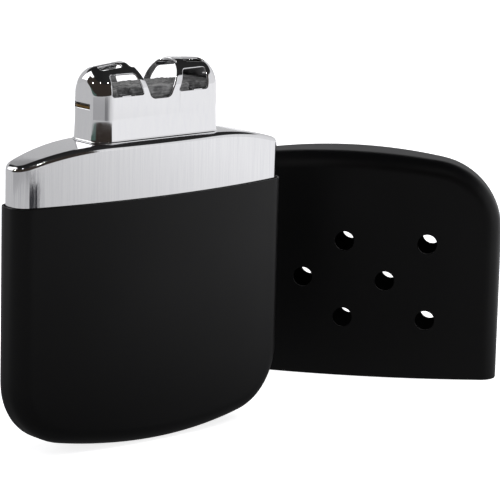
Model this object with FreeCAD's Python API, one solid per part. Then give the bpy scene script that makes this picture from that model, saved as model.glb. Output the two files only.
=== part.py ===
"""Catalytic hand warmer: fuel tank, lift-off burner and vented lid.  Millimetres, +Z up.

The origin is the middle of the tank's foot.  X runs along the tank's width and -Y is its front.
The burner sits on the tank's neck, and the lid stands on its open rim beside the tank.
"""
import FreeCAD, Part
import math
import os

Vector = FreeCAD.Vector
UP = Vector(0, 0, 1)
ALONG_DEPTH = Vector(0, 1, 0)

# ---------------------------------------------------------------- driving dimensions
# outer body, shared by the case and the lid
body_width = 66.7
body_thickness = 14.6
body_side_thickness = 7.1
body_edge_radius = 3.6
foot_radius = 133.0
case_height = 49.6
case_corner_radius = 13.1
case_wall = 0.45
rim_bevel = 0.12

# lid
lid_height = 49.4
lid_corner_radius = 15.6
lid_wall = 0.45
vent_diameter = 4.2
vent_pitch = 17.9
vent_row_pitch = 8.45
vent_middle_height = 21.5
lid_park_x = 70.3
lid_park_y = 16.9
lid_park_turn = -48.9

# fuel tank
case_fit = 0.2
tank_wall = 0.4
lap_fit = 0.05
shoulder_height = 60.85
shoulder_level_length = 25.0
shoulder_radius = 62.0
shoulder_edge_radius = 0.95
shoulder_inner_bevel = 0.35
collar_below_rim = 10.0

# filler neck and wick
neck_length = 28.0
neck_width = 8.2
neck_corner_radius = 2.4
neck_wall = 0.5
neck_height = 5.35
neck_flange = 1.2
neck_foot_depth = 3.6
neck_dimple_radius = 0.8
neck_dimple_rise = 0.12
neck_dimple_spread = 16.0
grid_depth = 1.2
grid_thickness = 0.5
grid_hole_diameter = 1.5
grid_hole_pitch = 2.4
grid_hole_columns = 11
grid_hole_rows = 3
wick_fit = 0.1
wick_depth = 7.6

# cotton packing
packing_fit = 0.15
packing_gap = 0.1
packing_layers = 3

# burner
hood_length = 30.2
hood_width = 10.4
hood_end_radius = 3.0
hood_wall = 0.4
hood_height = 15.15
hood_crown_radius = 124.0
hood_seat_gap = 0.12
hood_foot_depth = 1.2
foot_lip = 0.4
foot_lip_height = 0.65
window_low = 9.0
window_high = 13.1
window_outer_low = 12.35
window_outer_high = 12.0
window_inner_low = 4.6
window_inner_high = 6.05
window_corner_radius = 0.5
notch_low = 8.05
notch_half_low = 2.2
notch_flare = 0.45
notch_corner_radius = 0.8
roof_cut_depth = 3.0
roof_cleft_half_length = 5.8
roof_cleft_half_width = 2.75
roof_window_inner = 7.7
roof_window_outer = 12.8
roof_window_half_width = 2.7
roof_window_corner_radius = 1.0
sill_tab_inner = 7.75
sill_tab_width = 2.2
sill_tab_reach = 2.0
sill_tab_rise = 0.4
slot_height = 6.85
slot_length = 5.4
slot_gap = 0.9
slot_shift = 1.2

# burner inside
skirt_fit = 0.05
skirt_wall = 0.4
skirt_lift = 0.5
tray_fit = 0.1
tray_thickness = 0.4
tray_slot_length = 5.0
tray_slot_width = 1.0
tray_slot_end_radius = 0.45
tray_slot_columns = 4
tray_slot_rows = 3
tray_slot_pitch_x = 6.6
tray_slot_pitch_y = 2.2
gauze_thickness = 0.15
gauze_gap = 0.03
wool_fit = 0.3
wool_height = 4.1

# ---------------------------------------------------------------- derived places
face_bulge_depth = (body_thickness - body_side_thickness) / 2
face_bulge_radius = ((body_width / 2) ** 2 + face_bulge_depth ** 2) / (2 * face_bulge_depth)
collar_inset = case_wall + case_fit
packing_inset = collar_inset + tank_wall + packing_fit
neck_top = shoulder_height + neck_height
grid_top = neck_top - grid_depth
skirt_length = hood_length - 2 * (hood_wall + skirt_fit)
skirt_width = hood_width - 2 * (hood_wall + skirt_fit)
skirt_corner_radius = hood_end_radius - hood_wall - skirt_fit
tray_top = shoulder_height + slot_height - slot_gap / 2 + tray_fit + tray_thickness
tray_length = hood_length - 2 * (hood_wall + tray_fit)
tray_width = hood_width - 2 * (hood_wall + tray_fit)
tray_corner_radius = hood_end_radius - hood_wall - tray_fit


# ---------------------------------------------------------------- shape helpers
def centred(count, pitch):
    """Evenly spaced places about zero."""
    return [(index - (count - 1) / 2) * pitch for index in range(count)]


def edges_along(shape, direction):
    """The straight edges of a shape that run along a direction."""
    found = []
    for edge in shape.Edges:
        if isinstance(edge.Curve, (Part.Line, Part.LineSegment)):
            run = edge.Vertexes[-1].Point.sub(edge.Vertexes[0].Point)
            if run.Length > 1e-6 and run.normalize().cross(direction).Length < 1e-6:
                found.append(edge)
    return found


def depth_prism(wire, depth):
    """A wire in the XZ plane, made a solid that is centred on y = 0."""
    prism = Part.Face(wire).extrude(Vector(0, depth, 0))
    prism.translate(Vector(0, -depth / 2, 0))
    return prism


def cut_prism(corners, depth, radius):
    """A polygon of (x, z) corners made a prism along Y, with its long edges rounded."""
    points = [Vector(x, 0, z) for x, z in corners]
    prism = depth_prism(Part.makePolygon(points + points[:1]), depth)
    return prism.makeFillet(radius, edges_along(prism, ALONG_DEPTH))


def oval_prism(length, width, radius, low, high):
    """An upright prism with the plan of a rounded rectangle."""
    block = Part.makeBox(length, width, high - low, Vector(-length / 2, -width / 2, low))
    return block.makeFillet(radius, edges_along(block, UP))


def oval_tube(length, width, radius, wall, low, high):
    """An upright tube with the plan of a rounded rectangle."""
    outer = oval_prism(length, width, radius, low, high)
    return outer.cut(oval_prism(length - 2 * wall, width - 2 * wall, radius - wall, low, high))


def bulged_slab(block, inset):
    """Trim a block to the body's two bulged faces, moved inwards by the inset."""
    box = block.BoundBox
    axis_offset = face_bulge_radius - body_thickness / 2
    for side in (-1, 1):
        axis_foot = Vector(0, side * axis_offset, box.ZMin - 1)
        bulge = Part.makeCylinder(face_bulge_radius - inset, box.ZLength + 2, axis_foot)
        block = block.common(bulge)
    return block


def body_slab(inset, height, outer_corner_radius):
    """The body's form before its edges are rounded: curved foot, bulged faces, flat top."""
    half = body_width / 2 - inset
    arc_radius = foot_radius - inset
    corner = outer_corner_radius - inset
    centre_z = foot_radius
    corner_x = half - corner
    drop = math.sqrt((arc_radius - corner) ** 2 - corner_x ** 2)
    corner_z = centre_z - drop
    turn = math.atan2(drop, corner_x)
    middle_turn = turn / 2
    join = Vector(arc_radius * math.cos(turn), 0, centre_z - arc_radius * math.sin(turn))
    corner_mid = Vector(corner_x + corner * math.cos(middle_turn), 0,
                        corner_z - corner * math.sin(middle_turn))
    side_low = Vector(half, 0, corner_z)
    side_high = Vector(half, 0, height)

    def mirrored(point):
        return Vector(-point.x, point.y, point.z)

    edges = [
        Part.Arc(mirrored(join), Vector(0, 0, inset), join).toShape(),
        Part.Arc(join, corner_mid, side_low).toShape(),
        Part.LineSegment(side_low, side_high).toShape(),
        Part.LineSegment(side_high, mirrored(side_high)).toShape(),
        Part.LineSegment(mirrored(side_high), mirrored(side_low)).toShape(),
        Part.Arc(mirrored(side_low), mirrored(corner_mid), mirrored(join)).toShape(),
    ]
    return bulged_slab(depth_prism(Part.Wire(edges), 2 * body_thickness), inset)


def body_solid(inset, height, outer_corner_radius):
    """The body's outer form, or one nested inside it, with its edges rounded."""
    slab = body_slab(inset, height, outer_corner_radius)
    rounded = []
    for edge in slab.Edges:
        ends = [vertex.Point for vertex in edge.Vertexes]
        on_top = min(point.z for point in ends) > height - 1e-6
        across = min(point.y for point in ends) * max(point.y for point in ends) < 0
        if not on_top and not across:
            rounded.append(edge)
    return slab.makeFillet(body_edge_radius - inset, rounded)


def arched_outline(half, low, crown, arch_radius):
    """A wire in the XZ plane: flat foot, upright sides, and a top with a level middle and arched ends."""
    level = shoulder_level_length / 2
    turn = math.asin((half - level) / arch_radius)
    arch_mid = Vector(level + arch_radius * math.sin(turn / 2), 0,
                      crown - arch_radius * (1 - math.cos(turn / 2)))
    side = Vector(half, 0, crown - arch_radius * (1 - math.cos(turn)))
    level_end = Vector(level, 0, crown)

    def mirrored(point):
        return Vector(-point.x, point.y, point.z)

    return Part.Wire([
        Part.LineSegment(mirrored(side), Vector(-half, 0, low)).toShape(),
        Part.LineSegment(Vector(-half, 0, low), Vector(half, 0, low)).toShape(),
        Part.LineSegment(Vector(half, 0, low), side).toShape(),
        Part.Arc(side, arch_mid, level_end).toShape(),
        Part.LineSegment(level_end, mirrored(level_end)).toShape(),
        Part.Arc(mirrored(level_end), mirrored(arch_mid), mirrored(side)).toShape(),
    ])


def top_edges(block, low):
    """The edges around the shoulder's top, without the smooth joints between its level and arched parts."""
    return [edge for edge in block.Edges
            if edge.BoundBox.ZMin > low + 1e-6 and edge.BoundBox.ZLength < edge.Length - 1e-6
            and abs(abs(edge.CenterOfMass.x) - shoulder_level_length / 2) > 1e-3]


def shoulder_solid(inset, low):
    """The upper tank's form: the body's plan with a gently arched top, its top edges still square."""
    drop = inset - collar_inset
    half = body_width / 2 - inset
    outline = arched_outline(half, low, shoulder_height - drop, shoulder_radius - drop)
    slab = bulged_slab(depth_prism(outline, 2 * body_thickness), inset)
    return slab.makeFillet(body_edge_radius - inset, edges_along(slab, UP))


def hood_solid(inset, low):
    """The hood's form: a half-round roof swept along an arch, cut square at the ends and rounded there."""
    half_length = hood_length / 2 - inset
    half_width = hood_width / 2 - inset
    crest = shoulder_height + hood_height - inset
    spring = crest - half_width
    deep = low - hood_height
    foot_left, foot_right = Vector(0, -half_width, deep), Vector(0, half_width, deep)
    left, right = Vector(0, -half_width, spring), Vector(0, half_width, spring)
    profile = Part.Wire([
        Part.LineSegment(foot_left, left).toShape(),
        Part.Arc(left, Vector(0, 0, crest), right).toShape(),
        Part.LineSegment(right, foot_right).toShape(),
        Part.LineSegment(foot_right, foot_left).toShape(),
    ])
    axis_foot = Vector(0, 0, crest - (hood_crown_radius - inset))
    sweep = math.degrees(math.asin(hood_length / hood_crown_radius))
    profile.rotate(axis_foot, ALONG_DEPTH, -sweep)
    swept = Part.Face(profile).revolve(axis_foot, ALONG_DEPTH, 2 * sweep)
    block = swept.common(Part.makeBox(2 * half_length, hood_width, crest - low + 1,
                                      Vector(-half_length, -hood_width / 2, low)))
    ends = [edge for edge in block.Edges
            if edge.BoundBox.XLength < 1e-6 < edge.BoundBox.ZLength and edge.BoundBox.ZMin > low - 1e-6]
    return block.makeFillet(hood_end_radius - inset, ends)


def bevel_rim(shell, height, size):
    """Bevel the outer and inner edges of a shell's open rim."""
    rim = [edge for edge in shell.Edges if edge.BoundBox.ZMin > height - 1e-6]
    return shell.makeChamfer(size, rim)


# ---------------------------------------------------------------- tank
def make_case_shell():
    """The lower tank: a drawn cup, open at the top."""
    shell = body_solid(0, case_height, case_corner_radius)
    shell = shell.cut(body_solid(case_wall, case_height + 1, case_corner_radius))
    return bevel_rim(shell, case_height, rim_bevel)


def make_shoulder_shell():
    """The upper tank: a collar that laps into the case, and a shoulder with a mouth for the neck."""
    low = case_height - collar_below_rim
    outer = shoulder_solid(collar_inset, low)
    outer = outer.makeFillet(shoulder_edge_radius, top_edges(outer, low))
    inner = shoulder_solid(collar_inset + tank_wall, low - 1)
    inner = inner.makeChamfer(shoulder_inner_bevel, top_edges(inner, low - 1))
    shell = outer.cut(inner)
    mouth = oval_prism(neck_length + 2 * lap_fit, neck_width + 2 * lap_fit,
                       neck_corner_radius + lap_fit, low, neck_top)
    return shell.cut(mouth)


def make_filler_neck():
    """The neck, with an arched flange that lies under the shoulder and dimples that hold the burner."""
    flange_inset = collar_inset + tank_wall + lap_fit
    foot = shoulder_height - neck_foot_depth
    inner_radius = neck_corner_radius - neck_wall
    under_shoulder = shoulder_solid(flange_inset, case_height)
    flange = oval_prism(neck_length + 2 * neck_flange, neck_width + 2 * neck_flange,
                        neck_corner_radius + neck_flange, foot, neck_top)
    flange = flange.common(under_shoulder)
    flange = flange.cut(shoulder_solid(flange_inset + neck_wall, case_height))
    tube = oval_prism(neck_length, neck_width, neck_corner_radius, foot, neck_top)
    neck = flange.fuse(tube)
    neck = neck.cut(oval_prism(neck_length - 2 * neck_wall, neck_width - 2 * neck_wall,
                               inner_radius, foot - 1, neck_top + 1))
    dimple_z = shoulder_height + neck_height / 2
    ball_radius = (neck_dimple_radius ** 2 + neck_dimple_rise ** 2) / (2 * neck_dimple_rise)
    for side in (-1, 1):
        for end in (-1, 1):
            centre = Vector(end * neck_dimple_spread / 2,
                            side * (neck_width / 2 + neck_dimple_rise - ball_radius), dimple_z)
            ball = Part.makeSphere(ball_radius, centre)
            outer_half = Part.makeBox(neck_length, neck_wall, neck_height,
                                      Vector(-neck_length / 2, neck_width / 2 - neck_wall / 2,
                                             dimple_z - neck_height / 2))
            if side < 0:
                outer_half = outer_half.mirror(Vector(0, 0, 0), ALONG_DEPTH)
            neck = neck.fuse(ball.common(outer_half))
    return neck.removeSplitter()


def make_wick_grid():
    """The punched plate that closes the neck and keeps the wick in."""
    length = neck_length - 2 * (neck_wall + wick_fit)
    width = neck_width - 2 * (neck_wall + wick_fit)
    radius = neck_corner_radius - neck_wall - wick_fit
    plate = oval_prism(length, width, radius, grid_top - grid_thickness, grid_top)
    holes = []
    for y in centred(grid_hole_rows, grid_hole_pitch):
        for x in centred(grid_hole_columns, grid_hole_pitch):
            holes.append(Part.makeCylinder(grid_hole_diameter / 2, grid_thickness,
                                           Vector(x, y, grid_top - grid_thickness)))
    return plate.cut(Part.makeCompound(holes))


def make_wick_felt():
    """The felt pad that fills the neck under the grid and reaches down to the cotton."""
    high = grid_top - grid_thickness - packing_gap
    return oval_prism(neck_length - 2 * (neck_wall + wick_fit), neck_width - 2 * (neck_wall + wick_fit),
                      neck_corner_radius - neck_wall - wick_fit, high - wick_depth, high)


def make_packing():
    """Cotton wads stacked in the tank, the lowest shaped by the foot, clear of the round edges."""
    wick_low = grid_top - grid_thickness - packing_gap - wick_depth
    top = wick_low - packing_gap
    edge_room = (body_edge_radius - packing_inset) * (1 - math.sqrt(0.5))
    inset = packing_inset + edge_room
    filling = body_slab(inset, top, case_corner_radius)
    step = (top - inset) / packing_layers
    wads = []
    for layer in range(packing_layers):
        low = inset + layer * step + (packing_gap if layer else 0)
        high = inset + (layer + 1) * step
        slice_box = Part.makeBox(body_width, body_thickness, high - low,
                                 Vector(-body_width / 2, -body_thickness / 2, low))
        wads.append(filling.common(slice_box))
    return wads


# ---------------------------------------------------------------- burner
def make_burner_hood():
    """Windowed hood: three openings in each face, a cleft roof, roof windows and end slots."""
    low = shoulder_height - hood_foot_depth
    through = 2 * hood_width
    shell = hood_solid(0, low).cut(hood_solid(hood_wall, low - 1))
    seat, lip_reach = (depth_prism(arched_outline(hood_length, low - 1, shoulder_height + rise,
                                                  shoulder_radius + rise), through)
                       for rise in (hood_seat_gap, hood_seat_gap + foot_lip_height))
    skin = oval_tube(hood_length + 2 * foot_lip, hood_width + 2 * foot_lip, hood_end_radius + foot_lip,
                     foot_lip + hood_wall, low, shoulder_height + foot_lip_height + hood_seat_gap)
    shell = shell.fuse(skin.common(lip_reach)).cut(seat)
    notch_top = hood_height + 1
    notch_half_top = notch_half_low + notch_flare * (notch_top - notch_low)
    notch_corners = [(-notch_half_low, shoulder_height + notch_low),
                     (notch_half_low, shoulder_height + notch_low),
                     (notch_half_top, shoulder_height + notch_top),
                     (-notch_half_top, shoulder_height + notch_top)]
    shell = shell.cut(cut_prism(notch_corners, through, notch_corner_radius))
    roof_low = shoulder_height + hood_height - roof_cut_depth
    roof_high = shoulder_height + hood_height + 1
    shell = shell.cut(oval_prism(2 * roof_cleft_half_length, 2 * roof_cleft_half_width,
                                 window_corner_radius, roof_low, roof_high))
    for end in (-1, 1):
        window_corners = [(end * window_inner_low, shoulder_height + window_low),
                          (end * window_outer_low, shoulder_height + window_low),
                          (end * window_outer_high, shoulder_height + window_high),
                          (end * window_inner_high, shoulder_height + window_high)]
        shell = shell.cut(cut_prism(window_corners, through, window_corner_radius))
        roof_window = oval_prism(roof_window_outer - roof_window_inner, 2 * roof_window_half_width,
                                 roof_window_corner_radius, roof_low, roof_high)
        roof_window.translate(Vector(end * (roof_window_inner + roof_window_outer) / 2, 0, 0))
        shell = shell.cut(roof_window)
        slot_low = shoulder_height + slot_height - slot_gap / 2
        shell = shell.cut(slot_bar(end, 0, slot_low, slot_low + slot_gap))
        for side in (-1, 1):
            shell = shell.fuse(make_sill_tab(end, side))
    return shell.removeSplitter()


def slot_bar(end, fit, low, high):
    """A bar through one end's slot, narrower than it by a fit at each side.

    The slots lie off the middle, each the other's place turned half round.
    """
    middle_x = end * (hood_length / 2 - hood_wall / 2)
    reach = hood_wall + 2
    return Part.makeBox(reach, slot_length - 2 * fit, high - low,
                        Vector(middle_x - reach / 2, -end * slot_shift - slot_length / 2 + fit, low))


def make_sill_tab(end, side):
    """One tongue that stands on a window's sill and is bent inwards over the wool."""
    x_low = min(end * sill_tab_inner, end * (sill_tab_inner + sill_tab_width))
    foot = shoulder_height + window_low - hood_wall
    top = shoulder_height + window_low + sill_tab_rise
    outer = hood_width / 2
    tip = outer - sill_tab_reach
    inner = outer - hood_wall
    points = [(outer, foot), (outer, top), (tip, top), (tip, top - hood_wall),
              (inner, top - hood_wall), (inner, foot)]
    corners = [Vector(x_low, side * y, z) for y, z in points]
    return Part.Face(Part.makePolygon(corners + corners[:1])).extrude(Vector(sill_tab_width, 0, 0))


def make_burner_skirt():
    """The guide band inside the hood that slides over the neck."""
    low = shoulder_height + skirt_lift
    high = tray_top - tray_thickness
    return oval_tube(skirt_length, skirt_width, skirt_corner_radius, skirt_wall, low, high)


def make_catalyst_tray():
    """The slotted plate under the catalyst, with a lug in each end slot of the hood."""
    low = tray_top - tray_thickness
    plate = oval_prism(tray_length, tray_width, tray_corner_radius, low, tray_top)
    for end in (-1, 1):
        plate = plate.fuse(slot_bar(end, tray_fit, low, tray_top).common(hood_solid(tray_fit, low)))
    for x in centred(tray_slot_columns, tray_slot_pitch_x):
        for y in centred(tray_slot_rows, tray_slot_pitch_y):
            opening = oval_prism(tray_slot_length, tray_slot_width, tray_slot_end_radius, low, tray_top)
            opening.translate(Vector(x, y, 0))
            plate = plate.cut(opening)
    return plate.removeSplitter()


def make_catalyst_gauze():
    """The fine gauze between the tray and the wool."""
    low = tray_top + gauze_gap
    return oval_prism(tray_length - 2 * wool_fit, tray_width - 2 * wool_fit,
                      tray_corner_radius - wool_fit, low, low + gauze_thickness)


def make_catalyst_wool():
    """The coated glass wool: a mat that fills the hood and is pressed clear under the bent-in tongues."""
    low = tray_top + 2 * gauze_gap + gauze_thickness
    filling = hood_solid(hood_wall + tray_fit + wool_fit, low)
    mat = filling.common(Part.makeBox(hood_length, hood_width, wool_height,
                                      Vector(-hood_length / 2, -hood_width / 2, low)))
    room_low = shoulder_height + window_low + sill_tab_rise - hood_wall - wool_fit
    room_width = sill_tab_width + 2 * wool_fit
    room_depth = sill_tab_reach + wool_fit
    for side in (-1, 1):
        for end in (-1, 1):
            x = end * (sill_tab_inner + sill_tab_width / 2)
            y = side * (hood_width - room_depth) / 2
            room = Part.makeBox(room_width, room_depth, wool_height,
                                Vector(x - room_width / 2, y - room_depth / 2, room_low))
            mat = mat.cut(room)
    return mat


# ---------------------------------------------------------------- lid
def make_lid_shell():
    """The vented cap, modelled crown down like the case, then turned over and stood on its rim."""
    shell = body_solid(0, lid_height, lid_corner_radius)
    shell = shell.cut(body_solid(lid_wall, lid_height + 1, lid_corner_radius))
    shell = bevel_rim(shell, lid_height, rim_bevel)
    middle_z = lid_height - vent_middle_height
    for vents_in_row, z in zip((3, 2, 3), centred(3, vent_row_pitch)):
        for x in centred(vents_in_row, vent_pitch):
            drill = Part.makeCylinder(vent_diameter / 2, 2 * body_thickness,
                                      Vector(x, -body_thickness, middle_z + z), ALONG_DEPTH)
            shell = shell.cut(drill)
    shell.rotate(Vector(0, 0, lid_height / 2), Vector(1, 0, 0), 180)
    shell.rotate(Vector(0, 0, 0), UP, lid_park_turn)
    shell.translate(Vector(lid_park_x, lid_park_y, 0))
    return shell


def main():
    os.makedirs("parts", exist_ok=True)
    cotton_lower, cotton_middle, cotton_upper = make_packing()
    nodes = {
        "case_shell": make_case_shell(),
        "shoulder_shell": make_shoulder_shell(),
        "filler_neck": make_filler_neck(),
        "wick_grid": make_wick_grid(),
        "wick_felt": make_wick_felt(),
        "cotton_upper": cotton_upper,
        "cotton_middle": cotton_middle,
        "cotton_lower": cotton_lower,
        "burner_hood": make_burner_hood(),
        "burner_skirt": make_burner_skirt(),
        "catalyst_tray": make_catalyst_tray(),
        "catalyst_gauze": make_catalyst_gauze(),
        "catalyst_wool": make_catalyst_wool(),
        "lid_shell": make_lid_shell(),
    }
    for name, shape in nodes.items():
        shape.exportStep("parts/" + name + ".step")
        print(name, "solids", len(shape.Solids), "valid", shape.isValid(), "volume", round(shape.Volume, 1))


main()
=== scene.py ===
"""Looks of the catalytic hand warmer: coated tank, chrome shoulder and burner, vented lid.

Pieces are modelled in millimetres in the part's own frame and are brought to metres when they are done.
"""
from __future__ import annotations

import logging
import math
import random
from collections.abc import Callable, Iterator, Sequence
from contextlib import contextmanager
from dataclasses import dataclass
from enum import Enum, IntEnum

import bmesh
import bpy
from mathutils import Matrix, Vector

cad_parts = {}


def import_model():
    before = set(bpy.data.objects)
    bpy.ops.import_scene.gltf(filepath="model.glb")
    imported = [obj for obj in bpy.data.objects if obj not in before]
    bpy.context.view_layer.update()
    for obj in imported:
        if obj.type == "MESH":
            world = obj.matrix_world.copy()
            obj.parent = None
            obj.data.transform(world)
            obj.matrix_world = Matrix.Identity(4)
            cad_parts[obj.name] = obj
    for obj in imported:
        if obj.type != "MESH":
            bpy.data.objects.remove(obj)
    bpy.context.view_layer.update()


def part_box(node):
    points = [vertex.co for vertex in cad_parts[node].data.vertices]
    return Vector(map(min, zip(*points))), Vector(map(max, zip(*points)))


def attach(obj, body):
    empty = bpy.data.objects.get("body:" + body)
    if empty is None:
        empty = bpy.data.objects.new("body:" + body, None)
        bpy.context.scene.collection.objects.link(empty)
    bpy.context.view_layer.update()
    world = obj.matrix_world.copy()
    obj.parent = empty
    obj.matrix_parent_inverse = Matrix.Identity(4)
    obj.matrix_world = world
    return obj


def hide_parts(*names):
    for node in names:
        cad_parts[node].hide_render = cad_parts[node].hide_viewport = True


MM = 0.001
TINY = 1e-3  # heights closer than this are one height
QUARTER = math.pi / 2
SHARP = math.radians(50)
RAMP = ("From Min", "From Max", "To Min", "To Max")  # the ends of what a ramp reads and of what it gives
LOG = logging.getLogger("hand_warmer")

Piece = bpy.types.Object
Tree = bpy.types.NodeTree
Socket = bpy.types.NodeSocket
Vertex = bpy.types.MeshVertex
Edge = bmesh.types.BMEdge
Face = bmesh.types.BMFace
EdgeTest = Callable[[Edge], bool]
FaceTest = Callable[[Face], bool]
Two = tuple[float, float]
Three = tuple[float, float, float]
Four = tuple[float, float, float, float]


class Element(Enum):
    """What a selection is made of."""

    VERTEX = "VERT"
    EDGE = "EDGE"
    FACE = "FACE"


class Side(IntEnum):
    """A face or an end of the upright pieces, as a sign."""

    LOW = -1
    HIGH = 1


# ---------------- modelling steps
def choose(piece: Piece, *others: Piece) -> None:
    """Select a piece, as the active one, and any others with it.

    Args:
        piece: The piece that the next operators act on.
        *others: What is selected besides.
    """
    if bpy.context.mode != "OBJECT":
        bpy.ops.object.mode_set(mode="OBJECT")
    bpy.ops.object.select_all(action="DESELECT")
    for chosen in (piece, *others):
        chosen.select_set(True)
    bpy.context.view_layer.objects.active = piece


def settle(piece: Piece) -> None:
    """Apply a piece's place, turn and size to its mesh."""
    choose(piece)
    bpy.ops.object.transform_apply(location=True, rotation=True, scale=True)


def join(piece: Piece, *others: Piece) -> None:
    """Make other pieces part of a piece."""
    choose(piece, *others)
    bpy.ops.object.join()


@contextmanager
def editing(piece: Piece) -> Iterator[None]:
    """Open a piece in edit mode with nothing selected, and close it again.

    Args:
        piece: The piece to edit.

    Yields:
        Nothing; the operators inside act on the piece.
    """
    choose(piece)
    bpy.ops.object.mode_set(mode="EDIT")
    bpy.ops.mesh.select_mode(type=Element.VERTEX.value)
    bpy.ops.mesh.select_all(action="DESELECT")
    yield
    bpy.ops.object.mode_set(mode="OBJECT")


def take_all() -> None:
    """Select all of the mesh that is being edited."""
    bpy.ops.mesh.select_all(action="SELECT")


def pick(piece: Piece, element: Element, test: Callable) -> None:
    """Select just the elements that pass a test, in edit mode.

    Args:
        piece: The piece in edit mode.
        element: What is tested and selected.
        test: Says whether a vertex, edge or face is wanted.
    """
    bpy.ops.mesh.select_mode(type=element.value)
    bpy.ops.mesh.select_all(action="DESELECT")
    mesh = bmesh.from_edit_mesh(piece.data)
    pools = {Element.VERTEX: mesh.verts, Element.EDGE: mesh.edges, Element.FACE: mesh.faces}
    for part in pools[element]:
        if test(part):
            part.select_set(True)
    mesh.select_flush_mode()
    bmesh.update_edit_mesh(piece.data)


def extrude(step: Three, region: bool = True) -> None:
    """Extrude the selection by a step, as a region or as a lone vertex."""
    operator = bpy.ops.mesh.extrude_region_move if region else bpy.ops.mesh.extrude_vertices_move
    operator(TRANSFORM_OT_translate={"value": step})


def bevel_edges(piece: Piece, test: EdgeTest, width: float, segments: int) -> None:
    """Bevel the edges that pass a test.

    Args:
        piece: The piece that is shaped.
        test: Says whether an edge is bevelled.
        width: How far the bevel starts from the edge.
        segments: Faces across it.
    """
    with editing(piece):
        pick(piece, Element.EDGE, test)
        bpy.ops.mesh.bevel(offset=width, segments=segments, affect="EDGES")


def delete_faces(piece: Piece, test: FaceTest) -> None:
    """Delete the faces that pass a test."""
    with editing(piece):
        pick(piece, Element.FACE, test)
        bpy.ops.mesh.delete(type="FACE")


def merge_close(piece: Piece, gap: float) -> None:
    """Merge vertices that are closer than a gap."""
    with editing(piece):
        take_all()
        bpy.ops.mesh.remove_doubles(threshold=gap)


def apply_modifier(piece: Piece, kind: str, **settings: object) -> None:
    """Add a modifier to a piece and apply it at once.

    Args:
        piece: The piece that is changed.
        kind: Blender's name of the modifier type.
        **settings: The modifier's properties.
    """
    choose(piece)
    modifier = piece.modifiers.new(kind.title(), kind)
    for name, value in settings.items():
        setattr(modifier, name, value)
    bpy.ops.object.modifier_apply(modifier=modifier.name)


def push(piece: Piece, axis: str, reach: float, share: Callable[[Vertex], float]) -> None:
    """Move each vertex along an axis by its own share of a reach.

    Args:
        piece: The piece that is shaped.
        axis: "X", "Y", "Z" or "NORMAL".
        reach: The longest move.
        share: Gives a vertex's share of the reach, from 0 to 1.
    """
    group = piece.vertex_groups.new(name="share")
    for vertex in piece.data.vertices:
        group.add([vertex.index], share(vertex), "REPLACE")
    apply_modifier(piece, "DISPLACE", direction=axis, strength=reach, mid_level=0.0, vertex_group=group.name)
    piece.vertex_groups.remove(piece.vertex_groups["share"])


def round_edges(piece: Piece, one: FaceTest, other: FaceTest, radius: float, segments: int) -> None:
    """Round the edges between two kinds of faces to one radius, whatever angle they meet at.

    Args:
        piece: The piece that is shaped.
        one: Test for the faces on one side.
        other: Test for the faces on the other side.
        radius: The rounding's radius.
        segments: Faces across the rounding.
    """
    with editing(piece):
        mesh = bmesh.from_edit_mesh(piece.data)
        layers = mesh.edges.layers.float
        weight = layers.get("bevel_weight_edge") or layers.new("bevel_weight_edge")
        for edge in mesh.edges:
            edge[weight] = math.tan(edge.calc_face_angle(0) / 2) if between(edge, one, other) else 0.0
        bmesh.update_edit_mesh(piece.data)
    apply_modifier(
        piece, "BEVEL", limit_method="WEIGHT", width=radius, segments=segments, use_clamp_overlap=False)
    piece.data.attributes.remove(piece.data.attributes["bevel_weight_edge"])


def add_primitive(name: str, operator: Callable, **placing: object) -> Piece:
    """Add a primitive while nothing else is selected.

    Args:
        name: The new piece's name.
        operator: The operator that adds it.
        **placing: The operator's settings.

    Returns:
        The new piece.
    """
    bpy.ops.object.select_all(action="DESELECT")
    operator(**placing)
    piece = bpy.context.object
    piece.name = name
    return piece


def add_object(name: str, data: bpy.types.ID) -> Piece:
    """Add an object to the scene.

    Args:
        name: Its name.
        data: Its mesh, curve, lens or light.

    Returns:
        The object.
    """
    added = bpy.data.objects.new(name, data)
    bpy.context.scene.collection.objects.link(added)
    return added


def start_point(name: str, place: Three) -> Piece:
    """Add a mesh of one vertex, from which an outline is drawn.

    Args:
        name: The new piece's name.
        place: Where its vertex is.

    Returns:
        The new piece.
    """
    piece = add_primitive(name, bpy.ops.mesh.primitive_plane_add, size=1)
    with editing(piece):
        take_all()
        bpy.ops.mesh.merge(type="CENTER")
        take_all()
        bpy.ops.transform.translate(value=place)
    return piece


@dataclass(frozen=True)
class Run:
    """A straight stretch of an outline, by how far it goes along X and Z."""

    along: float
    up: float

    def draw(self) -> None:
        """Extrude the selected vertex along the stretch."""
        extrude((self.along, 0, self.up), region=False)


@dataclass(frozen=True)
class Arc:
    """A round stretch of an outline in the XZ plane, turned from X towards Z."""

    centre: Two
    angle: float
    steps: int

    def draw(self) -> None:
        """Spin the selected vertex along the arc."""
        middle = (self.centre[0], 0, self.centre[1])
        bpy.ops.mesh.spin(steps=self.steps, angle=self.angle, center=middle, axis=(0, 1, 0))


def slab(name: str, start: Two, path: Sequence[Run | Arc], depth: float) -> Piece:
    """Draw a closed outline in the XZ plane and extrude it to a block centred on y = 0.

    Args:
        name: The block's name.
        start: Where the outline starts, as (x, z).
        path: The outline's stretches; the last one ends at the start.
        depth: The block's depth along Y.

    Returns:
        The block.
    """
    block = start_point(name, (start[0], 0, start[1]))
    with editing(block):
        take_all()
        for stretch in path:
            stretch.draw()
        take_all()
        bpy.ops.mesh.remove_doubles(threshold=TINY)
        bpy.ops.mesh.edge_face_add()
        bpy.ops.transform.translate(value=(0, -depth / 2, 0))
        extrude((0, depth, 0))
        take_all()
        bpy.ops.mesh.normals_make_consistent(inside=False)
    return block


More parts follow.
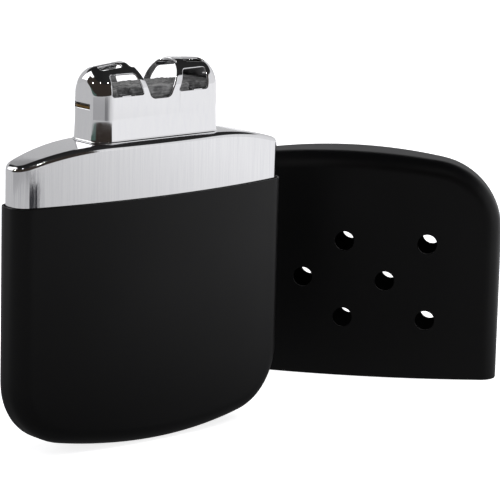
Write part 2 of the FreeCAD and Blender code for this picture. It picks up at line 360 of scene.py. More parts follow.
def slice_columns(piece: Piece, reach: float, count: int) -> None:
    """Cut a block into upright columns of even width, clear of the edges that are rounded later.

    Args:
        piece: The block that is cut.
        reach: How far the cuts go to either side of the middle.
        count: The number of cuts.
    """
    with editing(piece):
        for index in range(count):
            take_all()
            bpy.ops.mesh.bisect(plane_co=(reach * (2 * index / (count - 1) - 1), 0, 0), plane_no=(1, 0, 0))
    merge_close(piece, reach / count / 8)


def facing(face: Face, axis: int, side: int = 0) -> bool:
    """Tell whether a face looks along axis 0, 1 or 2, towards one side of it or, with 0, either way."""
    reach = face.normal[axis]
    return (abs(reach) if side == 0 else reach * side) > 0.85


def is_wall(face: Face) -> bool:
    """Tell whether a face stands upright."""
    return abs(face.normal.z) < 0.1


def is_sharp(edge: Edge) -> bool:
    """Tell whether an edge's faces meet at more than a slight angle."""
    return edge.calc_face_angle(0) > SHARP


def span(edge: Edge, axis: int) -> float:
    """Give how far an edge reaches along an axis."""
    return abs(edge.verts[0].co[axis] - edge.verts[1].co[axis])


def between(edge: Edge, one: FaceTest, other: FaceTest) -> bool:
    """Tell whether an edge joins a face of one kind to a face of another.

    Args:
        edge: The edge.
        one: Test for the face on one side.
        other: Test for the face on the other side.

    Returns:
        Whether its two faces pass one test each.
    """
    if len(edge.link_faces) != 2:
        return False
    first, second = edge.link_faces
    return (one(first) and other(second)) or (one(second) and other(first))


def held(value: float, low: float, high: float) -> float:
    """Keep a value between two others."""
    return max(low, min(high, value))


def sink(radius: float, x: float, level: float = 0.0) -> float:
    """Give a circle's fall at x from its crown, where it starts after a level stretch's half length."""
    return radius - math.sqrt(radius ** 2 - max(0.0, abs(x) - level) ** 2)


def arch(piece: Piece, radius: float, above: float, level: float = 0.0) -> None:
    """Bend the upper part of a block along X to an arch that is highest in the middle.

    Args:
        piece: The block, already cut into columns.
        radius: The arch's radius.
        above: The height over which the block is bent.
        level: Half the length of the arch's level middle.
    """
    deepest = sink(radius, max(vertex.co.x for vertex in piece.data.vertices), level)
    push(piece, "Z", -deepest,
         lambda vertex: sink(radius, vertex.co.x, level) / deepest if vertex.co.z > above else 0)


def bulge(piece: Piece, radius: float, rounding: float = 0.0) -> None:
    """Curve a flat-faced block's front and back about upright axes, deepest at the sides.

    Args:
        piece: The block, already cut into columns.
        radius: The radius of both bulged faces.
        rounding: The radius of the block's edges where they are rounded already; they stay round.
    """
    deepest = sink(radius, max(vertex.co.x for vertex in piece.data.vertices))

    def share(vertex: Vertex) -> float:
        """Give a vertex's share of the deepest fall, read at the centre of its rounding."""
        normal = vertex.normal
        centre_x = abs(vertex.co.x) - rounding * abs(normal.x)
        return sink(radius - rounding * math.hypot(normal.x, normal.z), centre_x) / deepest

    for side in Side:
        push(piece, "Y", -side * deepest,
             lambda vertex, sign=side: share(vertex) if vertex.co.y * sign > 0 else 0)


def cut_away(piece: Piece, cutters: Sequence[Piece], open_sheet: bool) -> None:
    """Cut other pieces' shapes out of a closed piece.

    Args:
        piece: The closed block or shell that is cut.
        cutters: Closed pieces, used up by the cut.
        open_sheet: Whether the walls of the cuts are deleted too, to leave an open skin.
    """
    marks = [bpy.data.materials.new(name) for name in ("skin", "cut")]
    for marked in (piece, *cutters):
        for mark in marks:
            marked.data.materials.append(mark)
    for cutter in cutters:
        for face in cutter.data.polygons:
            face.material_index = 1
    for cutter in cutters:
        apply_modifier(piece, "BOOLEAN", operation="DIFFERENCE", solver="EXACT", object=cutter)
        bpy.data.objects.remove(cutter)
    if open_sheet:
        delete_faces(piece, lambda face: face.material_index == 1)
    piece.data.materials.clear()
    for mark in marks:
        bpy.data.materials.remove(mark)


def rounded_quad(name: str, corners: Sequence[Two], radius: float, depth: float) -> Piece:
    """Make a four-cornered cutter along Y with rounded corners.

    Args:
        name: The cutter's name.
        corners: Its four corners as (x, z), in turn.
        radius: How far from a corner the rounding starts.
        depth: Its depth along Y, centred on y = 0.

    Returns:
        The cutter.
    """
    ends = [*corners[1:], corners[0]]
    path = [Run(end[0] - begin[0], end[1] - begin[1]) for begin, end in zip(corners, ends)]
    cutter = slab(name, corners[0], path, depth)
    bevel_edges(cutter, lambda edge: span(edge, 1) > depth / 2, radius, 5)
    return cutter


def oval_block(name: str, size: Two, radius: float, heights: Two, segments: int = 5) -> Piece:
    """Make an upright block with the plan of a rounded rectangle.

    Args:
        name: The block's name.
        size: Its plan along X and Y.
        radius: The plan's corner radius.
        heights: Where its foot and its top are.
        segments: Faces across each corner.

    Returns:
        The block.
    """
    low, high = heights
    block = add_primitive(name, bpy.ops.mesh.primitive_cube_add, size=1, location=(0, 0, (low + high) / 2))
    block.scale = (*size, high - low)
    settle(block)
    bevel_edges(block, lambda edge: span(edge, 2) > (high - low) / 2, radius, segments)
    return block


def open_end(piece: Piece, side: Side) -> None:
    """Delete the flat lowest or highest face of a block."""
    end = max(vertex.co.z * side for vertex in piece.data.vertices) - TINY
    delete_faces(piece, lambda face: min(v.co.z * side for v in face.verts) > end)


def thicken(piece: Piece, wall: float) -> None:
    """Give an open skin its wall, inwards."""
    apply_modifier(
        piece, "SOLIDIFY", thickness=wall, offset=-1.0, use_even_offset=True, use_quality_normals=True)


def soften(piece: Piece, width: float) -> None:
    """Bevel every sharp edge, as coining and plating leave it."""
    apply_modifier(
        piece, "BEVEL", limit_method="ANGLE", angle_limit=SHARP, width=width, segments=2,
        use_clamp_overlap=False)


def loosen(piece: Piece, grain: float, passes: int) -> None:
    """Mesh a block evenly at a grain and smooth it, as loose fibres round off its edges."""
    apply_modifier(piece, "REMESH", mode="VOXEL", voxel_size=grain)
    apply_modifier(piece, "SMOOTH", factor=0.8, iterations=passes)


def ruffle(piece: Piece, size: float, strength: float, middle: float) -> None:
    """Make a fibre mat's surface uneven.

    Args:
        piece: The mat.
        size: The size of its lumps.
        strength: How far they reach, along the surface's normal.
        middle: The clouds' value, from 0 to 1, at which nothing moves.
    """
    clouds = bpy.data.textures.new("clouds", "CLOUDS")
    clouds.noise_scale = size
    apply_modifier(
        piece, "DISPLACE", texture=clouds, strength=strength, mid_level=middle, texture_coords="GLOBAL")


def finish(piece: Piece, look: Finish, body: str, node: str) -> None:
    """Smooth a piece, bring it to metres, dress it and tie it to its body.

    Args:
        piece: The finished mesh in millimetres.
        look: Its finish.
        body: The body that it rides on.
        node: The CAD node that it stands for.
    """
    choose(piece)
    bpy.ops.object.shade_smooth_by_angle(angle=math.radians(38))
    apply_modifier(piece, "WEIGHTED_NORMAL", keep_sharp=True)
    piece.scale = (MM, MM, MM)
    settle(piece)
    piece.data.materials.clear()
    piece.data.materials.append(bpy.data.materials[look.name])
    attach(piece, body)
    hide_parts(node)
    LOG.info("%s: %d faces on %s", piece.name, len(piece.data.polygons), body)


def dress_node(node: str, look: Finish) -> None:
    """Give a CAD node that stays as it is a better material.

    Args:
        node: The node's name.
        look: Its finish.
    """
    for material_slot in bpy.data.objects[node].material_slots:
        material_slot.material = bpy.data.materials[look.name]
    LOG.info("%s: dressed in %s", node, look.name)


# ---------------- finishes
def linear(code: str) -> Four:
    """Turn an sRGB hex colour into Blender's linear one.

    Args:
        code: Six hex digits after a hash.

    Returns:
        Red, green, blue and alpha.
    """
    parts = [int(code[i:i + 2], 16) / 255 for i in (1, 3, 5)]
    red, green, blue = [p / 12.92 if p <= 0.04045 else ((p + 0.055) / 1.055) ** 2.4 for p in parts]
    return (red, green, blue, 1.0)


def per_metre(size: float) -> float:
    """Give the texture scale for a pattern of a size in millimetres."""
    return 1 / (size * MM)


def stretched(*sizes: float) -> tuple[float, ...]:
    """Give the texture scales for a pattern's sizes along X, Y and Z in millimetres."""
    return tuple(per_metre(size) for size in sizes)


def empty_tree(owner: bpy.types.Material | bpy.types.World) -> Tree:
    """Give a material or a world a node tree with nothing in it.

    Args:
        owner: The material or world.

    Returns:
        The tree.
    """
    owner.use_nodes = True
    owner.node_tree.nodes.clear()
    return owner.node_tree


def add_node(tree: Tree, kind: str, inputs: dict | None = None, **settings: object) -> bpy.types.Node:
    """Add a node to a tree with its settings, values and links.

    Args:
        tree: The material's or world's node tree.
        kind: Blender's name of the node type, after "ShaderNode".
        inputs: For each input, by name or number: a value, an output, or a node for its first output.
        **settings: The node's properties.

    Returns:
        The node.
    """
    node = tree.nodes.new("ShaderNode" + kind)
    for name, value in settings.items():
        setattr(node, name, value)
    for name, value in (inputs or {}).items():
        source = value.outputs[0] if isinstance(value, bpy.types.Node) else value
        if isinstance(source, Socket):
            tree.links.new(source, node.inputs[name])
        else:
            node.inputs[name].default_value = source
    return node


@dataclass(frozen=True)
class Finish:
    """A finish, from what the real one is and how its surface was made."""

    name: str

    def make(self) -> None:
        """Build the node material under the finish's name."""
        tree = empty_tree(bpy.data.materials.new(self.name))
        place = add_node(tree, "TexCoord").outputs["Object"]
        shader = add_node(tree, "BsdfPrincipled", self.dress(tree, place))
        add_node(tree, "OutputMaterial", {"Surface": shader})

    def dress(self, tree: Tree, place: Socket) -> dict[str, object]:
        """Give the shader's values and patterns."""
        raise NotImplementedError


@dataclass(frozen=True)
class PowderCoat(Finish):
    """Baked powder coat on drawn steel: satin, with a fine orange peel and faint rubbed patches."""

    colour: str = "#050506"
    roughness: float = 0.42
    rub: float = 0.1
    rub_size: float = 22.0
    gloss: float = 0.27
    peel_size: float = 0.7
    peel_height: float = 0.004

    def dress(self, tree: Tree, place: Socket) -> dict[str, object]:
        """Make a black base, a roughness that drifts and an orange-peel bump.

        Args:
            tree: The material's tree.
            place: The Object coordinates.

        Returns:
            The shader's inputs.
        """
        rubbed = add_node(tree, "TexNoise", {
            "Vector": place, "Scale": per_metre(self.rub_size), "Detail": 3.0})
        rough = add_node(tree, "MapRange", {
            "Value": rubbed, "To Min": self.roughness - self.rub, "To Max": self.roughness + self.rub})
        peel = add_node(tree, "TexNoise", {
            "Vector": place, "Scale": per_metre(self.peel_size), "Detail": 1.0})
        bump = add_node(tree, "Bump", {"Height": peel, "Strength": 1.0, "Distance": self.peel_height * MM})
        return {"Base Color": linear(self.colour), "Specular IOR Level": self.gloss, "Roughness": rough,
                "Normal": bump}


@dataclass(frozen=True)
class ChromePlate(Finish):
    """Bright chrome plate on drawn steel: a mirror that keeps the draw's waves and the polisher's lines."""

    colour: str = "#eaeaeb"
    lined: str = "#e5e5e7"
    roughness: float = 0.04
    haze: float = 0.09
    wave_size: float = 9.0
    wave_height: float = 0.004
    line_size: float = 0.35
    line_length: float = 14.0
    line_depth: float = 0.0004
    haze_band: Two = (0.35, 0.75)
    shade_band: Two = (0.4, 0.7)

    def dress(self, tree: Tree, place: Socket) -> dict[str, object]:
        """Make a metal with upright polishing lines over slow waves.

        Args:
            tree: The material's tree.
            place: The Object coordinates.

        Returns:
            The shader's inputs.
        """
        upright = add_node(tree, "Mapping", {
            "Vector": place, "Scale": stretched(self.line_size, self.line_size, self.line_length)})
        lines = add_node(tree, "TexNoise", {"Vector": upright, "Scale": 1.0, "Detail": 3.0})
        hazy = add_node(tree, "MapRange", {
            "Value": lines,
            **dict(zip(RAMP, (*self.haze_band, self.roughness, self.roughness + self.haze)))})
        shade = add_node(tree, "MapRange", {"Value": lines, **dict(zip(RAMP, self.shade_band))})
        colours = add_node(tree, "Mix", {
            "Factor": shade, 6: linear(self.colour), 7: linear(self.lined)}, data_type="RGBA")
        level = add_node(tree, "Mapping", {
            "Vector": place, "Scale": stretched(self.wave_size * 2, self.wave_size * 2, self.wave_size / 2)})
        waves = add_node(tree, "TexNoise", {"Vector": level, "Scale": 1.0, "Detail": 1.0})
        wavy = add_node(tree, "Bump", {"Height": waves, "Strength": 1.0, "Distance": self.wave_height * MM})
        polished = add_node(tree, "Bump", {
            "Height": lines, "Strength": 1.0, "Distance": self.line_depth * MM, "Normal": wavy})
        return {"Metallic": 1.0, "Base Color": colours.outputs[2], "Roughness": hazy, "Normal": polished}


@dataclass(frozen=True)
class MillSteel(Finish):
    """Plain steel as it left the press: dull, with a fine rolled grain along X and darker stains."""

    colour: str = "#9a9a98"
    stain: str = "#6c6a66"
    stain_size: float = 5.0
    roughness: Two = (0.22, 0.46)
    grain_size: float = 0.15
    grain_length: float = 4.5

    def dress(self, tree: Tree, place: Socket) -> dict[str, object]:
        """Mix two greys by a slow noise and roughen by a fine one.

        Args:
            tree: The material's tree.
            place: The Object coordinates.

        Returns:
            The shader's inputs.
        """
        stains = add_node(tree, "TexNoise", {
            "Vector": place, "Scale": per_metre(self.stain_size), "Detail": 4.0})
        colours = add_node(tree, "Mix", {
            "Factor": stains, 6: linear(self.colour), 7: linear(self.stain)}, data_type="RGBA")
        rolled = add_node(tree, "Mapping", {
            "Vector": place, "Scale": stretched(self.grain_length, self.grain_size, self.grain_size)})
        grain = add_node(tree, "TexNoise", {"Vector": rolled, "Scale": 1.0})
        smooth, dull = self.roughness
        rough = add_node(tree, "MapRange", {"Value": grain, "To Min": smooth, "To Max": dull})
        return {"Metallic": 1.0, "Base Color": colours.outputs[2], "Roughness": rough}


@dataclass(frozen=True)
class HeatedBrass(Finish):
    """Brass sheet that has been hot: golden, with brown heat tint in slow clouds."""

    colour: str = "#9a7a42"
    tint: str = "#3f2e1b"
    cloud_size: float = 3.0
    roughness: float = 0.34

    def dress(self, tree: Tree, place: Socket) -> dict[str, object]:
        """Mix brass and its heat tint by clouds.

        Args:
            tree: The material's tree.
            place: The Object coordinates.

        Returns:
            The shader's inputs.
        """
        clouds = add_node(tree, "TexNoise", {
            "Vector": place, "Scale": per_metre(self.cloud_size), "Detail": 3.0})
        colours = add_node(tree, "Mix", {
            "Factor": clouds, 6: linear(self.colour), 7: linear(self.tint)}, data_type="RGBA")
        return {"Metallic": 1.0, "Base Color": colours.outputs[2], "Roughness": self.roughness}


@dataclass(frozen=True)
class FibreMat(Finish):
    """A mat of loose fibres: matt, streaked along its fibres, with soft light caught by its nap."""

    light: str = "#a4a4a4"
    dark: str = "#4a4a4b"
    roughness: float = 0.85
    nap: float = 0.25
    nap_height: float = 0.12
    streak_size: float = 0.35
    streak_length: float = 3.5
    streak_waves: float = 0.6
    clump_size: float = 1.6
    tone_band: Two = (0.12, 0.42)

    def dress(self, tree: Tree, place: Socket) -> dict[str, object]:
        """Streak two tones along X and raise them as a bump.

        Args:
            tree: The material's tree.
            place: The Object coordinates.

        Returns:
            The shader's inputs.
        """
        combed = add_node(tree, "Mapping", {
            "Vector": place, "Scale": stretched(self.streak_length, self.streak_size, self.streak_size)})
        streaks = add_node(tree, "TexNoise", {
            "Vector": combed, "Scale": 1.0, "Detail": 4.0, "Distortion": self.streak_waves})
        clumps = add_node(tree, "TexNoise", {
            "Vector": place, "Scale": per_metre(self.clump_size), "Detail": 3.0})
        both = add_node(tree, "Math", {0: streaks, 1: clumps}, operation="MULTIPLY")
        tone = add_node(tree, "MapRange", {"Value": both, **dict(zip(RAMP, self.tone_band))})
        colours = add_node(tree, "Mix", {
            "Factor": tone, 6: linear(self.dark), 7: linear(self.light)}, data_type="RGBA")
        bump = add_node(tree, "Bump", {"Height": both, "Strength": 1.0, "Distance": self.nap_height * MM})
        return {"Base Color": colours.outputs[2], "Roughness": self.roughness, "Sheen Weight": self.nap,
                "Normal": bump}


BLACK_COAT = PowderCoat("satin_black_powder_coat")
CHROME = ChromePlate("bright_chrome_plate_on_drawn_steel")
HOOD_CHROME = ChromePlate(
    "bright_chrome_plate_on_pressed_hood", lined="#e8e8ea", haze=0.025, wave_height=0.003, line_size=0.5,
    line_length=3.0, line_depth=0.0002)
STEEL = MillSteel("pressed_mild_steel")
BRASS = HeatedBrass("heat_tinted_brass_sheet")
GLASS_WOOL = FibreMat("platinum_coated_glass_wool")
FELT = FibreMat(
    "pressed_white_felt", light="#dcd8ce", dark="#b9b4a8", nap_height=0.04, streak_length=0.9, clump_size=0.8)
COTTON = FibreMat("carded_cotton_wadding", light="#efede8", dark="#cfccc4", streak_length=2.0, clump_size=3.0)


# ---------------- sub-assemblies
@dataclass
class BodyForm:
    """The flat oval body that the tank and the lid share."""

    width: float = 66.7
    thickness: float = 14.6
    bulge_radius: float = 150.0
    edge_radius: float = 3.6
    crown_radius: float = 133.0
    wall: float = 0.45
    rim_bevel: float = 0.12

    def cup(self, name: str, height: float, corner_radius: float) -> Piece:
        """Model a drawn cup, crown down and open at the top.

        Args:
            name: The cup's name.
            height: Its height over the middle of its crown.
            corner_radius: The radius between its crown and its sides.

        Returns:
            The cup.
        """
        half = self.width / 2
        corner_x = half - corner_radius
        drop = math.sqrt((self.crown_radius - corner_radius) ** 2 - corner_x ** 2)
        corner_z = self.crown_radius - drop
        turn = math.atan2(drop, corner_x)
        path = [
            Run(0, corner_z - height),
            Arc((-corner_x, corner_z), turn, 16),
            Arc((0, self.crown_radius), math.pi - 2 * turn, 40),
            Arc((corner_x, corner_z), turn, 16),
            Run(0, height - corner_z),
            Run(-self.width, 0),
        ]
        cup = slab(name, (-half, height), path, self.thickness)
        rim = height - TINY

        def is_side(face: Face) -> bool:
            """Tell whether a face belongs to the cup's sides or crown."""
            return abs(face.normal.y) < 0.1 and face.calc_center_median().z < rim

        round_edges(cup, lambda face: facing(face, 1), is_side, self.edge_radius, 9)
        slice_columns(cup, half - 0.5, 44)
        open_end(cup, Side.HIGH)
        bulge(cup, self.bulge_radius, self.edge_radius)
        thicken(cup, self.wall)
        bevel_edges(
            cup, lambda edge: min(v.co.z for v in edge.verts) > rim and is_sharp(edge), self.rim_bevel, 2)
        return cup


@dataclass
class Tank:
    """The fuel tank: a coated lower cup, a chrome upper shell, and the neck and packing inside."""

    form: BodyForm
    case_height: float = 49.6
    case_corner_radius: float = 13.1
    case_fit: float = 0.2
    shoulder_wall: float = 0.4
    shoulder_height: float = 60.85
    shoulder_level: float = 12.5
    shoulder_radius: float = 62.0
    shoulder_edge_radius: float = 1.2
    shoulder_softening: float = 0.08
    collar_below_rim: float = 10.0
    mouth: Three = (28.1, 8.3, 2.45)  # length, width, corner radius
    mouth_cut: float = 5.0  # how far its cutter reaches over the shoulder

    @property
    def inset(self) -> float:
        """How far the collar stands in from the case's outer face."""
        return self.form.wall + self.case_fit

    def build(self) -> None:
        """Model and dress the tank's pieces."""
        case = self.form.cup("case", self.case_height, self.case_corner_radius)
        finish(case, BLACK_COAT, "tank", "case_shell")
        self.build_shoulder()
        for node in ("filler_neck", "wick_grid"):
            dress_node(node, STEEL)
        Wad("wick_felt", FELT, "wick_felt", "tank").build()
        for node in ("cotton_upper", "cotton_middle", "cotton_lower"):
            Wad(node, COTTON, "cotton", "tank").build()

    def build_shoulder(self) -> None:
        """Model the upper shell: a collar with an arched shoulder and the neck's mouth."""
        half = self.form.width / 2 - self.inset
        low = self.case_height - self.collar_below_rim
        tall = self.shoulder_height - low
        corner = self.form.edge_radius - self.inset
        path = [Run(2 * half, 0), Run(0, tall), Run(-2 * half, 0), Run(0, -tall)]
        shoulder = slab("shoulder", (-half, low), path, self.form.thickness - 2 * self.inset)
        slice_columns(shoulder, half - 1.3 * corner, 40)
        bulge(shoulder, self.form.bulge_radius - self.inset)
        round_edges(shoulder, lambda face: facing(face, 0), lambda face: facing(face, 1), corner, 9)
        arch(shoulder, self.shoulder_radius, above=self.shoulder_height - TINY, level=self.shoulder_level)
        round_edges(shoulder, lambda face: facing(face, 2, 1), is_wall, self.shoulder_edge_radius, 6)
        length, width, radius = self.mouth
        heights = (self.case_height, self.shoulder_height + self.mouth_cut)
        cut_away(shoulder, [oval_block("mouth", (length, width), radius, heights)], open_sheet=True)
        open_end(shoulder, Side.LOW)
        thicken(shoulder, self.shoulder_wall)
        soften(shoulder, self.shoulder_softening)
        finish(shoulder, CHROME, "tank", "shoulder_shell")


@dataclass
class Burner:
    """The lift-off burner: a windowed hood over glass wool, gauze, tray and guide band.

    Heights count from the foot, and places along X from the middle.
    """

    foot: float = 60.85
    foot_depth: float = 1.2
    seat_gap: float = 0.12
    seat_level: float = 12.5
    seat_radius: float = 62.0
    length: float = 30.2
    width: float = 10.4
    height: float = 15.15
    end_radius: float = 3.0
    crown_radius: float = 124.0
    wall: float = 0.4
    coining: float = 0.2
    softening: float = 0.05
    flare: float = 0.145
    flare_height: float = 4.75
    flare_cuts: tuple[float, ...] = (0, 0.5, 1.0, 1.6, 2.3, 3.1)
    flare_power: float = 1.2
    lip: float = 0.22
    lip_height: float = 0.5
    lip_steps: tuple[Two, ...] = ((0.3, 0.85), (0.7, 0.15))  # shares of its reach and of its height
    window: Three = (9.0, 13.1, 0.5)  # sill, head, corner radius
    window_inner: Two = (4.6, 6.05)  # at the sill, at the head
    window_outer: Two = (12.35, 12.0)
    right_window_in: Four = (0.4, 1.1, 0.3, 0.2)  # how much nearer the middle its corners are, in turn
    cleft: Four = (8.05, 2.3, 0.44, 0.8)  # sill, half width, lean of its sides, corner radius
    cleft_shift: float = -0.3
    roof_cleft: Three = (5.8, 2.75, 0.5)  # half length, half width, corner radius
    roof_window: Four = (7.7, 12.8, 2.4, 0.7)  # inner end, outer end, half width, corner radius
    roof_cut: Two = (3.0, 1.0)  # how far the roof's cutters reach below and above the crest
    crest_rib: float = 1.0
    slot: Three = (6.85, 5.4, 0.9)  # height, length, gap
    slot_cut: Two = (2.0, 0.2)  # depth, corner radius
    slot_shift: float = 1.2
    tongue: Four = (7.75, 2.2, 2.0, 0.4)  # inner edge, width, reach, rise
    tongue_root: float = 0.5
    tongue_bend: float = 0.35
    tongue_room: float = 0.35
    tongue_softening: float = 0.07

    def build(self) -> None:
        """Model and dress the burner's pieces."""
        self.build_hood()
        for node, look in (("burner_skirt", STEEL), ("catalyst_gauze", STEEL), ("catalyst_tray", BRASS)):
            dress_node(node, look)
        _, width, reach, rise = self.tongue
        Wool("catalyst_wool", self.tongue_places(), width / 2 + self.tongue_room,
             self.width / 2 - reach - self.tongue_room,
             self.foot + self.window[0] + rise - self.wall - self.tongue_room).build()

    def tongue_places(self) -> list[Two]:
        """Give the middle of each tongue's foot as (x, y) on the hood's faces."""
        x = self.tongue[0] + self.tongue[1] / 2
        return [(end * x, face * self.width / 2) for end in Side for face in Side]

    def build_hood(self) -> None:
        """Model the hood: half-round block, rounded ends, openings, seat, flared foot, wall and tongues."""
        low = self.foot - self.foot_depth
        half = self.width / 2
        spring = self.foot + self.height - half
        path = [Run(self.width, 0), Run(0, spring - low), Arc((0, spring), math.pi, 28), Run(0, low - spring)]
        hood = slab("hood", (-half, low), path, self.length)
        hood.rotation_euler.z = QUARTER
        settle(hood)

        def is_mantle(face: Face) -> bool:
            """Tell whether a face belongs to the long faces or the roof."""
            return abs(face.normal.x) < 0.1 and face.normal.z > -0.9

        round_edges(hood, lambda face: facing(face, 0), is_mantle, self.end_radius, 10)
        slice_columns(hood, self.length / 2 - 1.1 * self.end_radius, 20)
        arch(hood, self.crown_radius, above=low + TINY)
        cut_away(hood, self.opening_cutters(), open_sheet=True)
        open_end(hood, Side.LOW)
        merge_close(hood, 0.08)
        self.flare_walls(hood)
        self.seat_foot(hood, low)
        skin_size = len(hood.data.vertices)
        thicken(hood, self.wall)
        bevel_edges(
            hood, lambda edge: max(v.index for v in edge.verts) < skin_size and is_sharp(edge),
            self.coining, 3)
        soften(hood, self.softening)
        for end in Side:
            for face in Side:
                self.join_tongue(hood, end, face)
        finish(hood, HOOD_CHROME, "burner", "burner_hood")

    def opening_cutters(self) -> list[Piece]:
        """Make the cutters for the windows, the cleft, the roof windows and the end slots.

        Returns:
            Closed cutters.
        """
        through = 2 * self.width
        below, above = self.roof_cut
        top = self.height + above
        heights = (self.foot + self.height - below, self.foot + top)
        cleft_low, cleft_half, lean, cleft_radius = self.cleft
        cleft_top = cleft_half + lean * (top - cleft_low)
        sill, head = self.foot + cleft_low, self.foot + top
        roof_half, roof_depth, roof_radius = self.roof_cleft
        corners = [(-cleft_half, sill), (cleft_half, sill), (cleft_top, head), (-cleft_top, head)]
        cutters = [
            rounded_quad("cleft", corners, cleft_radius, through),
            oval_block("roof_cleft", (2 * roof_half, 2 * roof_depth), roof_radius, heights, segments=4),
        ]
        for cutter in cutters:
            cutter.location.x = self.cleft_shift
        low, high, radius = self.window
        (inner_low, inner_high), (outer_low, outer_high) = self.window_inner, self.window_outer
        inner, far, window_half, window_radius = self.roof_window
        slope = (far - inner, window_half - self.crest_rib / 2)
        slot_height, slot_length, slot_gap = self.slot
        slot_depth, slot_radius = self.slot_cut
        slot_heights = tuple(self.foot + slot_height + side * slot_gap / 2 for side in Side)
        for end in Side:
            corners = [(end * x, self.foot + z) for x, z in (
                (inner_low, low), (outer_low, low), (outer_high, high), (inner_high, high))]
            if end is Side.HIGH:
                corners = [(x - inwards, z) for (x, z), inwards in zip(corners, self.right_window_in)]
            cutters.append(rounded_quad("window", corners, radius, through))
            for face in Side:
                roof = oval_block("roof_window", slope, window_radius, heights)
                roof.location = (end * (inner + far) / 2, face * (self.crest_rib + slope[1]) / 2, 0)
                cutters.append(roof)
            slot = oval_block("end_slot", (slot_depth, slot_length), slot_radius, slot_heights, segments=2)
            slot.location = (end * self.length / 2, -end * self.slot_shift, 0)
            cutters.append(slot)
        return cutters

    def flare_walls(self, hood: Piece) -> None:
        """Let the walls lean out a little towards the foot, as drawing leaves them.

        Args:
            hood: The hood's skin, open below.
        """
        top = self.foot + self.flare_height
        with editing(hood):
            for below in self.flare_cuts:
                take_all()
                bpy.ops.mesh.bisect(plane_co=(0, 0, top - below), plane_no=(0, 0, 1))
        reach = self.flare_height - self.lip_height
        push(hood, "NORMAL", self.flare,
             lambda vertex: held((top - vertex.co.z) / reach, 0.0, 1.0) ** self.flare_power)

    def seat_foot(self, hood: Piece, low: float) -> None:
        """Bring the hood's foot down onto the shoulder's arch and flare it.

        Args:
            hood: The hood's skin, open below.
            low: The height of its foot.
        """
        def seat(x: float) -> float:
            """Give the height of the lip's top at a place along X."""
            return self.foot + self.seat_gap - sink(self.seat_radius, x, self.seat_level) + self.lip_height

        lift = seat(0) - low
        push(hood, "Z", lift,
             lambda vertex: (seat(vertex.co.x) - low) / lift if vertex.co.z < low + TINY else 0)
        highest = seat(0) + TINY
        with editing(hood):
            pick(hood, Element.EDGE,
                 lambda edge: edge.is_boundary and max(v.co.z for v in edge.verts) < highest)
            for out, down in self.lip_steps:
                extrude((0, 0, -down * self.lip_height))
                widened = [1 + out * self.lip / (size / 2) for size in (self.length, self.width)]
                bpy.ops.transform.resize(value=(*widened, 1), center_override=(0, 0, 0))

    def join_tongue(self, hood: Piece, end: Side, face: Side) -> None:
        """Add one sheet tongue that stands on a window's sill and is bent in over the wool.

        Args:
            hood: The hood that it is part of.
            end: The end of the hood, along X.
            face: The face of the hood, along Y.
        """
        inner, width, reach, rise = self.tongue
        sill = self.foot + self.window[0]
        bend = self.tongue_bend
        x = end * (inner + width / 2)
        outer = face * (self.width / 2 - self.wall / 2)
        tongue = add_primitive(
            "tongue", bpy.ops.mesh.primitive_plane_add, size=width, location=(x, outer, sill),
            rotation=(QUARTER, 0, 0))
        settle(tongue)
        with editing(tongue):
            pick(tongue, Element.VERTEX, lambda vertex: vertex.co.z > sill)
            bpy.ops.transform.translate(value=(0, 0, rise - self.wall / 2 - bend - width / 2))
            pick(tongue, Element.VERTEX, lambda vertex: vertex.co.z < sill - width / 4)
            bpy.ops.transform.translate(value=(0, 0, width / 2 - self.tongue_root))
            pick(tongue, Element.EDGE,
                 lambda edge: min(v.co.z for v in edge.verts) > sill - self.tongue_root / 2)
            middle = (x, outer - face * bend, sill + rise - self.wall / 2 - bend)
            bpy.ops.mesh.spin(steps=5, angle=-QUARTER * face, center=middle, axis=(1, 0, 0))
            extrude((0, face * (bend + self.wall / 2 - reach), 0))
            take_all()
            bpy.ops.mesh.normals_make_consistent(inside=False)
        apply_modifier(tongue, "SOLIDIFY", thickness=self.wall * 0.9, offset=0.0, use_even_offset=True)
        soften(tongue, self.tongue_softening)
        join(hood, tongue)


